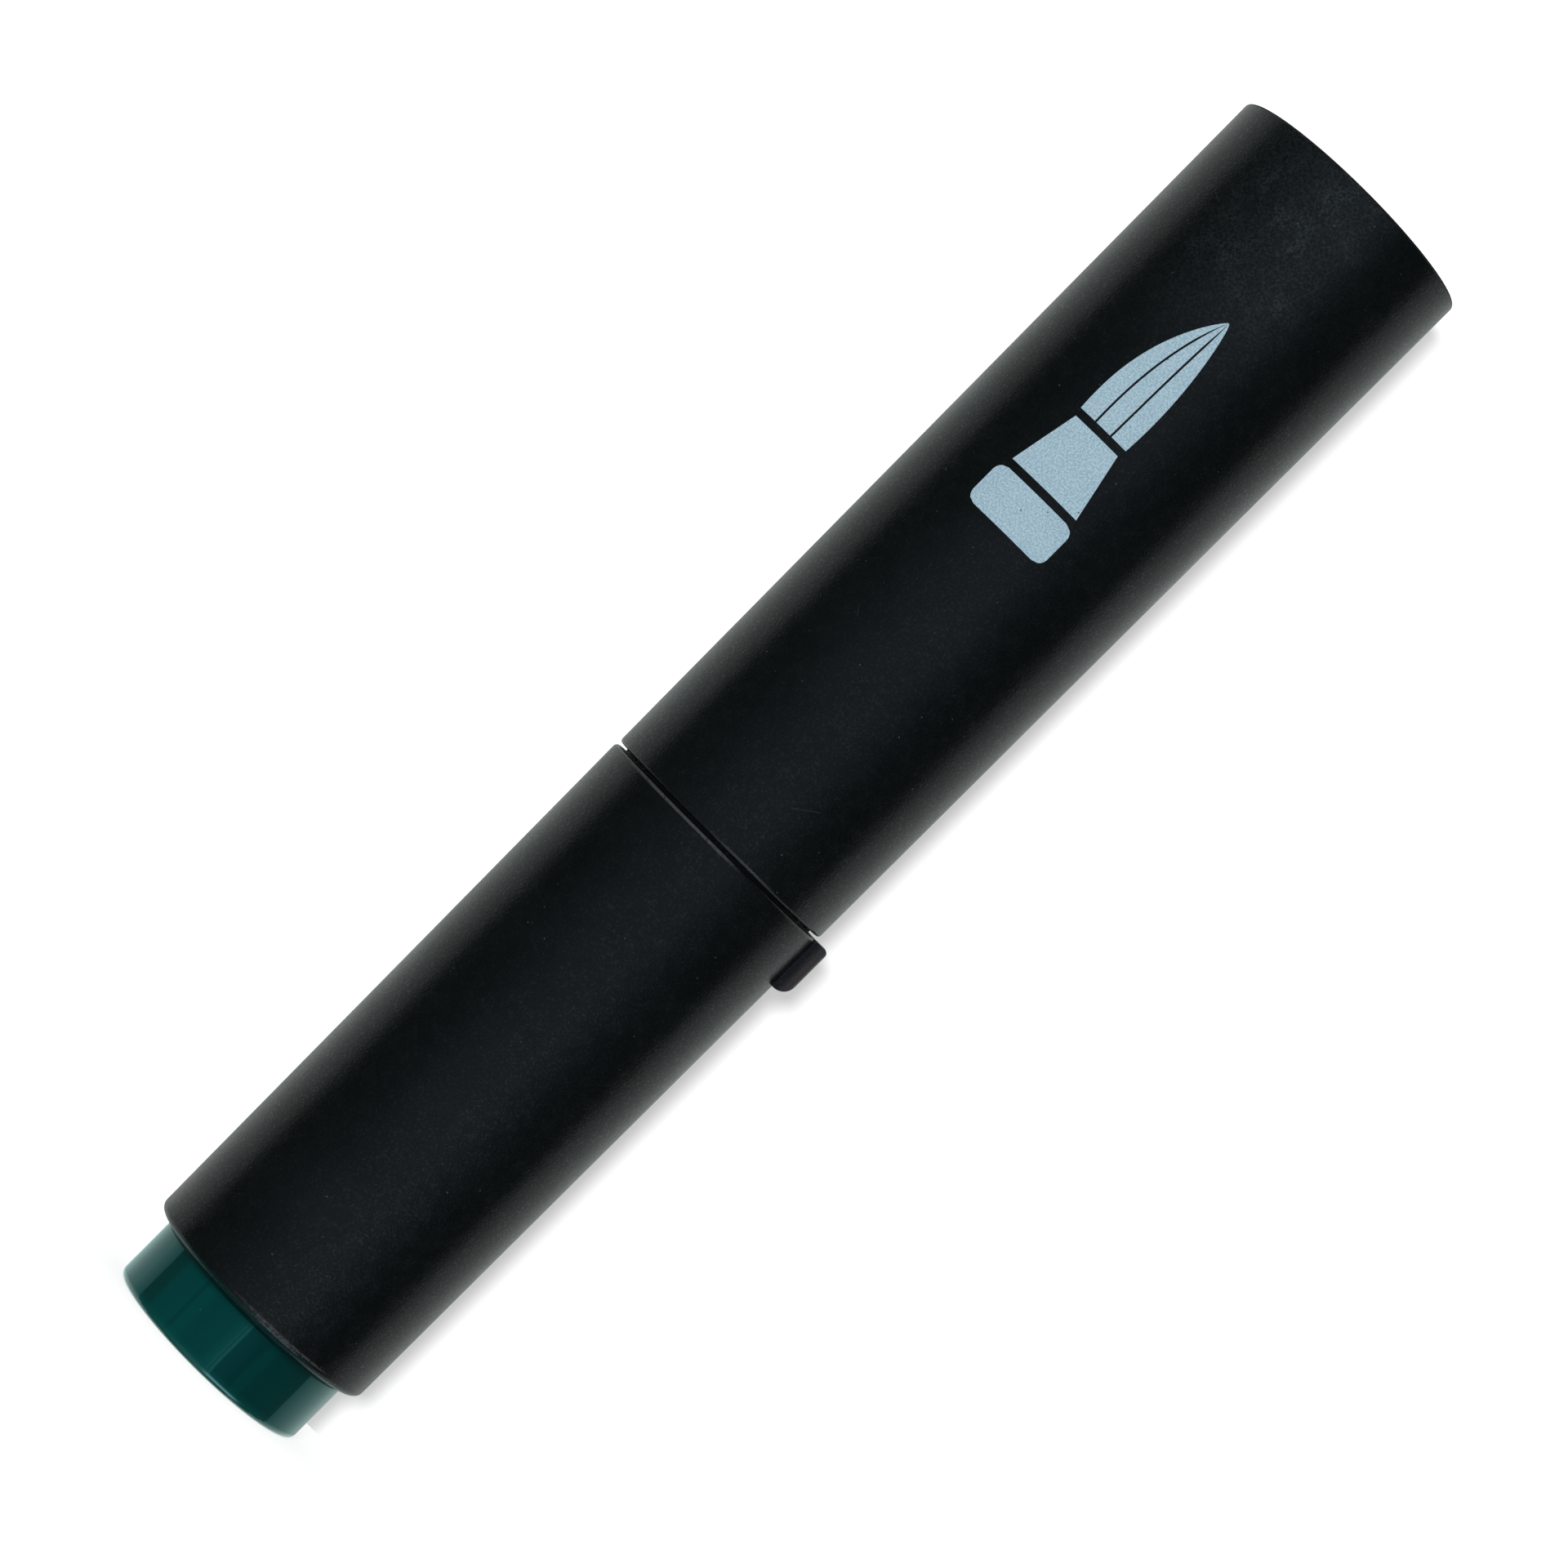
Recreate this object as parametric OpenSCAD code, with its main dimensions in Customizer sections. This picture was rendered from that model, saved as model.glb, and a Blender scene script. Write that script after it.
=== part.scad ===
// Capped brush marker with a slide-in ink cartridge. Lengths are in millimetres.
// It stands on the flat end of its cartridge, with the axis along +Z and the cap uppermost.

/* [Fits] */
// Radial clearance between pieces that slide on each other
slide_fit = 0.07; // [0.04:0.01:0.1]
// Gap between pieces that are pressed into each other
press_gap = 0.02; // [0.01:0.01:0.04]
// Gap between pieces that come up against each other at the end of a slide
stop_gap = 0.3; // [0.2:0.05:0.5]
// Gap of the seam between the handle and the cap's rim
seam_gap = 0.2; // [0.2:0.05:0.5]

/* [Cartridge] */
// Diameter of the coloured end
cartridge_d = 14.62; // [12:0.02:18]
// Length of the coloured end that stands out behind the handle
cartridge_out = 4.6; // [3:0.1:9]
// Rounding round the flat end
cartridge_end_r = 0.4; // [0.2:0.1:1.6]
// Wall of the barrel
cartridge_wall = 1; // [0.7:0.05:1.5]
// Thickness of the closed end
cartridge_end_wall = 1.6; // [1:0.1:2.5]
// Step in from the coloured end to the barrel inside the handle
cartridge_step = 0.3; // [0.1:0.02:0.4]
// Height of the crossed ribs that keep the fibre core off the closed end
floor_rib_h = 0.8; // [0.4:0.1:2]
// Thickness of the crossed ribs
floor_rib_t = 1.2; // [0.5:0.1:1.5]
// Thickness of the flange that closes the barrel's mouth
neck_flange_t = 1.4; // [1:0.1:2.5]
// Length of the plug that is pressed into the barrel's mouth
neck_plug_l = 3; // [2:0.1:6]
// Wall of the plug and of the tube in front of it
neck_tube_wall = 0.9; // [0.6:0.05:1.3]
// Length of the tube that stands inside the nose
neck_tube_in = 2.9; // [2.4:0.1:6]
// Height of the sealing bead round the tube
seal_bead_h = 0.2; // [0.1:0.05:0.35]

/* [Handle] */
// Length of the handle from its rear edge to the seam
handle_l = 39.7; // [32:0.1:70]
// Wall round the rear mouth
handle_mouth_wall = 1.34; // [1.3:0.01:2.2]
// Length of the close-fitting rear mouth
handle_mouth_l = 3.4; // [2:0.1:6]
// Depth of the relief in the bore in front of the mouth
handle_relief = 0.4; // [0.2:0.05:0.55]
// Growth of the outer radius from the rear edge to the seam
handle_taper = 0.225; // [0:0.025:0.6]
// Rounding of the rear edge
handle_rear_round = 0.5; // [0.2:0.05:0.9]
// Rounding of the front edge
handle_front_round = 0.3; // [0.1:0.05:0.4]
// Thickness of the shoulder that stops the cartridge
shoulder_t = 1.3; // [0.8:0.1:2.5]
// Number of guide ribs in the bore
guide_ribs = 6; // [3:1:10]
// Thickness of a guide rib
guide_rib_t = 1.2; // [0.8:0.1:2]

/* [Neck] */
// Step in from the handle's edge to the band that shows in the seam
neck_step = 0.775; // [0.65:0.025:1.1]
// Length of the band
neck_band_l = 3; // [2:0.1:5]
// Step in from the band to the neck
neck_band_step = 0.55; // [0.35:0.05:0.9]
// Length of the neck from the seam to its front face
neck_l = 14; // [12:0.1:20]
// Wall of the neck
neck_wall = 1.15; // [0.8:0.05:1.5]
// Height of the snap bead that holds the cap
snap_bead_h = 0.15; // [0.08:0.01:0.25]
// Distance of the snap bead from the seam
snap_bead_at = 7.5; // [5.5:0.1:9]
// Width of the snap bead and of the sealing bead
bead_w = 1.2; // [0.8:0.1:1.8]

/* [Anti-roll nub] */
// Length of the nub behind the seam
nub_l = 3.85; // [2:0.05:8]
// Width of the nub round the handle
nub_w = 2.6; // [2:0.1:6]
// Height of the nub above the handle
nub_h = 1; // [0.6:0.05:2]
// Rounding of the nub's rear edge
nub_rear_round = 0.95; // [0.2:0.05:1.2]
// Rounding of the nub's front edge
nub_front_round = 0.35; // [0.1:0.05:0.6]
// Rounding of the nub's two long edges
nub_side_round = 0.5; // [0.2:0.05:0.9]

/* [Nose] */
// Length of the nose's plug inside the neck
nose_plug_l = 11.5; // [8:0.1:13]
// Wall of the plug and of the cone
nose_wall = 1.1; // [0.9:0.05:1.4]
// Thickness of the flange on the neck's front face
nose_flange_t = 0.8; // [0.6:0.1:1.5]
// Step in from the neck to the flange
nose_flange_step = 0.35; // [0.2:0.05:0.6]
// Step in from the neck's bore to the collar that the inner cap seals on
collar_step = 0.7; // [0.5:0.05:1]
// Length of the collar
collar_l = 3.6; // [3:0.1:5]
// Length of the cone
cone_l = 4.5; // [3:0.1:8]
// Length of the nozzle
nozzle_l = 2.5; // [2.2:0.1:4]
// Wall of the nozzle round the brush
nozzle_wall = 0.7; // [0.5:0.05:1]
// Wall of the guide tube round the rod
guide_tube_wall = 0.8; // [0.5:0.05:1]
// Depth of the guide tube behind the collar's front edge
guide_tube_l = 5.6; // [3:0.1:9]
// Number of air slots along the nib
air_slots = 3; // [2:1:5]
// Width of an air slot
air_slot_w = 0.7; // [0.4:0.05:1]
// Depth of an air slot
air_slot_h = 0.4; // [0.2:0.05:0.45]

/* [Brush nib] */
// Diameter of the rod that feeds the brush
rod_d = 4; // [3:0.1:4.4]
// Radial gap round the rod in the cartridge
rod_gap = 0.3; // [0.2:0.05:0.5]
// Depth that the rod reaches into the fibre core
rod_dip = 10; // [5:0.5:20]
// Length of the rod's pointed rear end
rod_point_l = 1.8; // [1:0.1:3]
// Diameter of the brush at its root
brush_d = 5.2; // [4.8:0.1:6]
// Length of the brush in front of the nozzle
brush_l = 10; // [6:0.1:14]
// Length of the brush's straight root in front of the nozzle
brush_root_l = 1; // [0.5:0.1:3]
// Depth of the brush's seat in the nozzle
brush_seat_l = 1.6; // [1:0.1:2]
// Fullness of the brush between its root and its tip
brush_fullness = 1.6; // [1.2:0.1:2.5]
// Sharpness of the tip of the brush
brush_sharpness = 0.75; // [0.55:0.05:1]

/* [Cap] */
// Length of the cap
cap_l = 54.7; // [51.5:0.1:70]
// Wall at the rim, outside the neck's band
cap_rim_wall = 0.63; // [0.5:0.005:1.2]
// Growth of the outer radius from the rim to the closed end
cap_taper = 0.275; // [0:0.025:0.6]
// Thickness of the closed end
cap_end_wall = 1.3; // [1:0.1:2.5]
// Rounding of the rim's outer edge
cap_rim_round = 0.22; // [0.1:0.02:0.4]
// Rounding of the closed end's edge
cap_end_round = 0.2; // [0.1:0.05:1]
// Rounding inside the closed end
cap_inner_round = 1; // [0.3:0.1:2]
// Number of ribs inside the cap
cap_ribs = 8; // [4:1:12]
// Thickness of a rib inside the cap
cap_rib_t = 0.9; // [0.6:0.1:1.5]

/* [Inner cap] */
// Length of the lip that seals on the collar
lip_l = 2.6; // [1.5:0.1:2.8]
// Step out from the lip to the cup's bore
lip_step = 0.45; // [0.2:0.05:0.6]
// Wall of the cup
cup_wall = 0.75; // [0.5:0.05:0.85]
// Thickness of the flange at the cup's mouth
cup_flange_t = 1.2; // [0.8:0.1:2]
// Radial gap between the flange and the cap's bore
cup_flange_gap = 0.1; // [0.05:0.01:0.15]
// Free space between the brush and the cup's closed end
cup_headroom = 8; // [5:0.5:10]
// Rounding of the cup's closed end
cup_round = 2.4; // [1:0.1:4]

/* [Ink core] */
// Gap between the wrapped fibre core and the barrel
core_gap = 0.1; // [0.05:0.01:0.2]
// Thickness of the film round the fibre core
film_t = 0.12; // [0.08:0.01:0.25]

/* [Hidden] */
$fn = 96;
// Steps of each rounded corner and of the brush's curve
corner_steps = 8;
brush_steps = 20;
// Small bevel on hidden edges, and how far joined shapes run into each other
bevel = 0.25;
sink = 0.3;

// Levels along the axis
handle_z = cartridge_out;
seam_z = handle_z + handle_l;
stop_z = seam_z - shoulder_t;
neck_z = seam_z + neck_l;
rim_z = seam_z + seam_gap;
end_z = rim_z + cap_l;
ceiling_z = end_z - cap_end_wall;
mouth_z = handle_z + handle_mouth_l;
neck_flange_z = stop_z - stop_gap - neck_flange_t;
core_z = cartridge_end_wall + floor_rib_h;
core_top_z = neck_flange_z - neck_plug_l - stop_gap;
nose_z = neck_z - nose_plug_l;
collar_z = neck_z + nose_flange_t;
cone_z = collar_z + collar_l;
nozzle_z = cone_z + cone_l;
nozzle_top_z = nozzle_z + nozzle_l;
tip_z = nozzle_top_z + brush_l;
cup_z = collar_z + stop_gap;
cup_top_z = tip_z + cup_headroom + cup_wall;

// Radii, from the cartridge outwards to the cap and inwards to the nib
cartridge_r = cartridge_d / 2;
barrel_r = cartridge_r - cartridge_step;
barrel_bore_r = barrel_r - cartridge_wall;
handle_mouth_r = barrel_r + slide_fit;
handle_bore_r = handle_mouth_r + handle_relief;
handle_rear_r = handle_mouth_r + handle_mouth_wall;
handle_front_r = handle_rear_r + handle_taper;
band_r = handle_front_r - neck_step;
neck_r = band_r - neck_band_step;
neck_bore_r = neck_r - neck_wall;
nose_plug_r = neck_bore_r - press_gap;
socket_r = nose_plug_r - nose_wall;
tube_r = socket_r - slide_fit - seal_bead_h;
collar_r = neck_bore_r - collar_step;
rod_r = rod_d / 2;
rod_bore_r = rod_r + press_gap;
brush_r = brush_d / 2;
brush_seat_r = brush_r + press_gap;
nozzle_r = brush_seat_r + nozzle_wall;
guide_tube_r = rod_bore_r + guide_tube_wall;
cap_mouth_r = band_r + slide_fit;
cap_rim_r = cap_mouth_r + cap_rim_wall;
cap_end_r = cap_rim_r + cap_taper;
cap_bore_r = neck_r + snap_bead_h + slide_fit;
lip_r = collar_r + slide_fit;
cup_bore_r = lip_r + lip_step;
cup_r = cup_bore_r + cup_wall;
film_r = barrel_bore_r - core_gap;
core_r = film_r - film_t;

// Points of a corner rounded by r about its centre, from angle a to angle b
function corner(centre, r, a, b) = [for (i = [0:corner_steps])
    centre + r * [cos(a + (b - a) * i / corner_steps), sin(a + (b - a) * i / corner_steps)]];

// Side points of a raised bead on a surface of radius r, from its lower to its upper edge
function bead(r, z, h) = [[r, z - bead_w / 2], [r + h, z - bead_w / 6],
                          [r + h, z + bead_w / 6], [r, z + bead_w / 2]];

// Height of the nose's inner ceiling at radius r, which keeps the wall of the cone even
function nose_ceiling(r) =
    let (slope = (collar_r - nozzle_r) / cone_l)
    cone_z + (collar_r - nose_wall * sqrt(1 + slope * slope) - r) / slope;

// Radius of the brush at a share t of the way from its root to its tip
function brush_curve(t) = brush_r * pow(1 - pow(t, brush_fullness), brush_sharpness);

// Copies of a shape turned evenly about the axis
module around(count, turn = 0) {
    for (i = [0:count - 1]) rotate([0, 0, turn + i * 360 / count]) children();
}

// A flat rib standing on the XZ plane, of thickness t, with the given outline in x and z
module rib(outline, t) {
    rotate([90, 0, 0]) translate([0, 0, -t / 2]) linear_extrude(t) polygon(outline);
}

module cartridge_barrel() {
    color("#00463c") {
        rotate_extrude() polygon(concat(
            [[0, 0]],
            corner([cartridge_r - cartridge_end_r, cartridge_end_r], cartridge_end_r, -90, 0),
            [[cartridge_r, handle_z - cartridge_step],
             [barrel_r, handle_z],
             [barrel_r, neck_flange_z],
             [barrel_bore_r, neck_flange_z],
             [barrel_bore_r, cartridge_end_wall + bevel],
             [barrel_bore_r - bevel, cartridge_end_wall],
             [0, cartridge_end_wall]]));
        // Crossed ribs on the inner floor carry the fibre core
        intersection() {
            union() {
                for (turn = [0, 90]) rotate([0, 0, turn])
                    translate([-barrel_r, -floor_rib_t / 2, cartridge_end_wall - sink])
                        cube([2 * barrel_r, floor_rib_t, floor_rib_h + sink]);
            }
            cylinder(h = core_z, r = barrel_bore_r + sink);
        }
    }
}

module cartridge_neck() {
    plug_r = barrel_bore_r - press_gap;
    plug_z = neck_flange_z - neck_plug_l;
    flange_top_z = neck_flange_z + neck_flange_t;
    tube_top_z = nose_z + neck_tube_in;
    hole_r = rod_r + rod_gap;
    seal_z = nose_z + neck_tube_in / 2;
    color("#d9ddd6") rotate_extrude() polygon(concat(
        [[hole_r, neck_flange_z],
         [plug_r - neck_tube_wall, neck_flange_z],
         [plug_r - neck_tube_wall, plug_z],
         [plug_r - bevel, plug_z],
         [plug_r, plug_z + bevel],
         [plug_r, neck_flange_z],
         [barrel_r, neck_flange_z],
         [barrel_r, flange_top_z - bevel],
         [barrel_r - bevel, flange_top_z],
         [tube_r, flange_top_z]],
        bead(tube_r, seal_z, seal_bead_h),
        [[tube_r, tube_top_z - bevel],
         [tube_r - bevel, tube_top_z],
         [tube_r - neck_tube_wall, tube_top_z],
         [tube_r - neck_tube_wall, flange_top_z + neck_tube_wall],
         [hole_r + neck_tube_wall, flange_top_z + neck_tube_wall],
         [hole_r, flange_top_z]]));
}

module reservoir_film() {
    color("#c9d4d0") difference() {
        translate([0, 0, core_z]) cylinder(h = core_top_z - core_z, r = film_r);
        translate([0, 0, core_z - sink]) cylinder(h = core_top_z - core_z + 2 * sink, r = core_r);
    }
}

module ink_reservoir() {
    rod_end_z = core_top_z - rod_dip;
    color("#0f5a4a") difference() {
        translate([0, 0, core_z]) cylinder(h = core_top_z - core_z, r = core_r);
        // Pocket that the rod makes in the fibre
        translate([0, 0, rod_end_z - stop_gap]) cylinder(h = rod_dip + 2 * stop_gap, r = rod_r + rod_gap);
    }
}

module handle_sleeve() {
    color("#16191b") {
        rotate_extrude() polygon(concat(
            corner([handle_rear_r - handle_rear_round, handle_z + handle_rear_round],
                   handle_rear_round, -90, 0),
            corner([handle_front_r - handle_front_round, seam_z - handle_front_round],
                   handle_front_round, 0, 90),
            [[band_r, seam_z],
             [band_r, seam_z + neck_band_l - bevel],
             [neck_r, seam_z + neck_band_l + bevel]],
            bead(neck_r, seam_z + snap_bead_at, snap_bead_h),
            [[neck_r, neck_z - bevel],
             [neck_r - bevel, neck_z],
             [neck_bore_r, neck_z],
             [neck_bore_r, stop_z],
             [handle_bore_r, stop_z],
             [handle_bore_r, mouth_z + bevel],
             [handle_mouth_r, mouth_z],
             [handle_mouth_r, handle_z + bevel],
             [handle_mouth_r + bevel, handle_z]]));
        guide_ribs();
        anti_roll_nub();
    }
}

// Ribs along the bore that the cartridge slides on, each with a lead-in at its rear end
module guide_ribs() {
    rib_z = mouth_z + 2 * bevel;
    around(guide_ribs, 180 / guide_ribs) rib([
        [handle_bore_r + sink, rib_z],
        [handle_bore_r, rib_z],
        [handle_mouth_r, rib_z + handle_relief],
        [handle_mouth_r, stop_z + sink],
        [handle_bore_r + sink, stop_z + sink]], guide_rib_t);
}

// Small block on one side of the handle, flush with the seam, that stops it rolling
module anti_roll_nub() {
    root_x = handle_bore_r + sink;
    top_x = handle_front_r + nub_h;
    nub_z = seam_z - nub_l;
    side_y = nub_w / 2;
    intersection() {
        rib(concat(
            [[root_x, nub_z]],
            corner([top_x - nub_rear_round, nub_z + nub_rear_round], nub_rear_round, -90, 0),
            corner([top_x - nub_front_round, seam_z - nub_front_round], nub_front_round, 0, 90),
            [[root_x, seam_z]]), nub_w);
        translate([0, 0, nub_z]) linear_extrude(nub_l) polygon(concat(
            [[root_x, -side_y]],
            corner([top_x - nub_side_round, nub_side_round - side_y], nub_side_round, -90, 0),
            corner([top_x - nub_side_round, side_y - nub_side_round], nub_side_round, 0, 90),
            [[root_x, side_y]]));
    }
}

module nose_cone() {
    guide_z = cone_z - guide_tube_l;
    seat_z = nozzle_top_z - brush_seat_l;
    color("#1c2022") difference() {
        rotate_extrude() polygon(concat(
            [[nose_plug_r - bevel, nose_z],
             [nose_plug_r, nose_z + bevel],
             [nose_plug_r, neck_z],
             [neck_r - nose_flange_step, neck_z],
             [neck_r - nose_flange_step, collar_z - bevel],
             [neck_r - nose_flange_step - bevel, collar_z],
             [collar_r, collar_z],
             [collar_r, cone_z],
             [nozzle_r, nozzle_z]],
            corner([nozzle_r - bevel, nozzle_top_z - bevel], bevel, 0, 90),
            [[brush_seat_r, nozzle_top_z],
             [brush_seat_r, seat_z],
             [rod_bore_r, seat_z],
             [rod_bore_r, guide_z],
             [guide_tube_r, guide_z],
             [guide_tube_r, nose_ceiling(guide_tube_r)],
             [collar_r - nose_wall, nose_ceiling(collar_r - nose_wall)],
             [collar_r - nose_wall, neck_z],
             [socket_r, neck_z - bevel],
             [socket_r, nose_z]]));
        // Air slots along the rod's bore, and on through the brush's seat
        around(air_slots) {
            translate([0, -air_slot_w / 2, guide_z - sink])
                cube([rod_bore_r + air_slot_h, air_slot_w, nozzle_top_z - guide_z]);
            translate([0, -air_slot_w / 2, seat_z])
                cube([brush_seat_r + air_slot_h, air_slot_w, brush_seat_l + sink]);
        }
    }
}

module brush_nib() {
    root_z = nozzle_top_z + brush_root_l;
    seat_z = nozzle_top_z - brush_seat_l + press_gap;
    rod_end_z = core_top_z - rod_dip;
    // Steps towards the tip grow shorter, where the outline turns in
    color("#2c5c50") rotate_extrude() polygon(concat(
        [[0, rod_end_z],
         [rod_r, rod_end_z + rod_point_l],
         [rod_r, seat_z],
         [brush_r, seat_z]],
        [for (i = [0:brush_steps])
            let (t = sin(90 * i / brush_steps))
            [brush_curve(t), root_z + (tip_z - root_z) * t]]));
}

module inner_cap() {
    flange_r = cap_bore_r - cup_flange_gap;
    cup_ceiling_z = cup_top_z - cup_wall;
    bore_round = cup_round - cup_wall;
    color("#e4e7e4") rotate_extrude() polygon(concat(
        [[lip_r + bevel, cup_z],
         [flange_r - bevel, cup_z],
         [flange_r, cup_z + bevel],
         [flange_r, cup_z + cup_flange_t],
         [cup_r, cup_z + cup_flange_t]],
        corner([cup_r - cup_round, cup_top_z - cup_round], cup_round, 0, 90),
        [[0, cup_top_z],
         [0, cup_ceiling_z]],
        corner([cup_bore_r - bore_round, cup_ceiling_z - bore_round], bore_round, 90, 0),
        [[cup_bore_r, cup_z + lip_l + lip_step],
         [lip_r, cup_z + lip_l],
         [lip_r, cup_z + bevel]]));
}

module cap_shell() {
    step_z = seam_z + neck_band_l + stop_gap + neck_band_step;
    rib_z = cup_z + cup_flange_t + press_gap;
    rib_out = cap_bore_r + sink;
    color("#14171a") {
        rotate_extrude() polygon(concat(
            corner([cap_rim_r - cap_rim_round, rim_z + cap_rim_round], cap_rim_round, -90, 0),
            corner([cap_end_r - cap_end_round, end_z - cap_end_round], cap_end_round, 0, 90),
            [[0, end_z],
             [0, ceiling_z]],
            corner([cap_bore_r - cap_inner_round, ceiling_z - cap_inner_round], cap_inner_round, 90, 0),
            [[cap_bore_r, step_z],
             [cap_mouth_r, step_z - bevel],
             [cap_mouth_r, rim_z + bevel],
             [cap_mouth_r + bevel / 2, rim_z]]));
        // Ribs that hold the inner cap in the middle and stop its flange
        difference() {
            around(cap_ribs) rib([
                [cup_r - sink, rib_z],
                [rib_out, rib_z],
                [rib_out, ceiling_z + sink],
                [cup_r - sink, ceiling_z + sink]], cap_rib_t);
            cylinder(h = ceiling_z, r = cup_r + press_gap);
        }
    }
}

cap_shell();
inner_cap();
handle_sleeve();
nose_cone();
brush_nib();
cartridge_barrel();
cartridge_neck();
reservoir_film();
ink_reservoir();
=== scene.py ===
# Capped brush tip marker, standing on the green end of its cartridge.
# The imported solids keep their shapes. This script gives them their finishes, the print,
# the light and the camera.
import math

import bmesh
import bpy
from mathutils import Matrix, Vector


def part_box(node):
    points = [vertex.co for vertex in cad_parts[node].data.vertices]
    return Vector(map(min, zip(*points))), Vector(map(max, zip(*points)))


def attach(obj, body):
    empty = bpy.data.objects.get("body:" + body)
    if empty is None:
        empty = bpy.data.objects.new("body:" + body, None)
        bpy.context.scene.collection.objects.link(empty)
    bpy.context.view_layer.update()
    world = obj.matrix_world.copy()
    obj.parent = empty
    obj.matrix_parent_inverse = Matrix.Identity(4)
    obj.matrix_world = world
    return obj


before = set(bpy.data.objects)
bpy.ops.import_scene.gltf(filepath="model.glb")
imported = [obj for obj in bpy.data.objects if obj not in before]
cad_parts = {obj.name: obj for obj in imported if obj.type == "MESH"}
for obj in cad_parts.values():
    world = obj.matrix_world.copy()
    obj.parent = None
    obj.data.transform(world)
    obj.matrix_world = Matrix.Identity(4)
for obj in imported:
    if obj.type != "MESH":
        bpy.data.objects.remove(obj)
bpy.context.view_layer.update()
mm = 0.001
print("frame in:", len(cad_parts), "solids")


def boxMm(node):  # lowest and highest corner of a solid, in millimetres
    low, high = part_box(node)
    return low / mm, high / mm


def widestUpTo(node, height):  # how far a solid reaches from the axis, up to a height
    corners = [corner.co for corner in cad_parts[node].data.vertices]
    return max(corner.xy.length for corner in corners if corner.z < height * mm) / mm


capLow, capHigh = boxMm("cap_shell")
handleLow = boxMm("handle_sleeve")[0]
cartridgeHigh = boxMm("cartridge_barrel")[1]
noseHigh = boxMm("nose_cone")[1]
cupLow, cupHigh = boxMm("inner_cap")


class Wire:  # one output of a shader node, so that shader maths reads as sums
    def __init__(self, board, socket):
        self.board = board
        self.socket = socket

    def out(self, name):  # another output of the same node
        return Wire(self.board, self.socket.node.outputs[name])

    def __add__(self, other):
        return self.board.maths("ADD", self, other)

    def __radd__(self, other):
        return self.board.maths("ADD", other, self)

    def __sub__(self, other):
        return self.board.maths("SUBTRACT", self, other)

    def __rsub__(self, other):
        return self.board.maths("SUBTRACT", other, self)

    def __mul__(self, other):
        return self.board.maths("MULTIPLY", self, other)

    def __rmul__(self, other):
        return self.board.maths("MULTIPLY", other, self)

    def __truediv__(self, other):
        return self.board.maths("DIVIDE", self, other)

    def __lt__(self, other):
        return self.board.maths("LESS_THAN", self, other)

    def __abs__(self):
        return self.board.maths("ABSOLUTE", self)


class Board:  # the nodes of one material, or of the world
    def __init__(self, owner):
        owner.use_nodes = True
        self.owner = owner
        self.tree = owner.node_tree
        self.tree.nodes.clear()

    def add(self, kind, settings=None, sockets=None, out=0):  # a node, and its output
        node = self.tree.nodes.new(kind)
        for name, value in (settings or {}).items():
            setattr(node, name, value)
        for name, value in (sockets or {}).items():
            if isinstance(value, Wire):
                self.tree.links.new(value.socket, node.inputs[name])
            else:
                node.inputs[name].default_value = value
        return Wire(self, node.outputs[out]) if len(node.outputs) else None

    def maths(self, operation, *values):
        return self.add("ShaderNodeMath", {"operation": operation}, dict(enumerate(values)))

    def vectors(self, operation, *values):
        return self.add("ShaderNodeVectorMath", {"operation": operation}, dict(enumerate(values)))

    def blend(self, share, first, second):  # two colours, by share
        return self.add("ShaderNodeMix", {"data_type": "RGBA"}, {0: share, 6: first, 7: second}, out=2)

    def ease(self, value, start, end, low=0.0, high=1.0):  # soft step from start to end
        return self.add("ShaderNodeMapRange", {"interpolation_type": "SMOOTHSTEP"},
                        {"Value": value, "From Min": start, "From Max": end, "To Min": low, "To Max": high})

    def bell(self, value, edges):  # up between the first two edges, down between the last two
        start, full, fades, gone = edges
        return self.ease(value, start, full) * (1 - self.ease(value, fades, gone))

    def noise(self, place, scale, detail=2.0, rough=0.5, flat=False):
        return self.add("ShaderNodeTexNoise", {"noise_dimensions": "2D" if flat else "3D"},
                        {"Vector": place, "Scale": scale, "Detail": detail, "Roughness": rough})

    def place(self):  # where a point of the surface lies, in millimetres from the row's origin
        here = self.add("ShaderNodeTexCoord", out=3)
        return self.vectors("MULTIPLY", here, (1 / mm, 1 / mm, 1 / mm))

    def unrolled(self, place, radius):  # the same point on the cylinder laid flat: arc from -Y, height
        parts = self.add("ShaderNodeSeparateXYZ", None, {0: place})
        arc = self.maths("ARCTAN2", parts, parts.out("Y") * -1) * radius
        return self.add("ShaderNodeCombineXYZ", None, {"X": arc, "Y": parts.out("Z")}), arc, parts.out("Z")

    def height(self, place):  # how far up a point lies, mm
        return self.add("ShaderNodeSeparateXYZ", None, {0: place}).out("Z")

    def relief(self, depth, shape):  # a bump, its depth in mm
        return self.add("ShaderNodeBump", None, {"Strength": 1.0, "Distance": depth * mm, "Height": shape})

    def surface(self, sockets):  # the shader and the material's output
        shader = self.add("ShaderNodeBsdfPrincipled", None, sockets)
        self.add("ShaderNodeOutputMaterial", None, {"Surface": shader})
        return self.owner


def newBoard(name):
    return Board(bpy.data.materials.new(name))


def rgb(red, green, blue):
    return (red, green, blue, 1.0)


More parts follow.
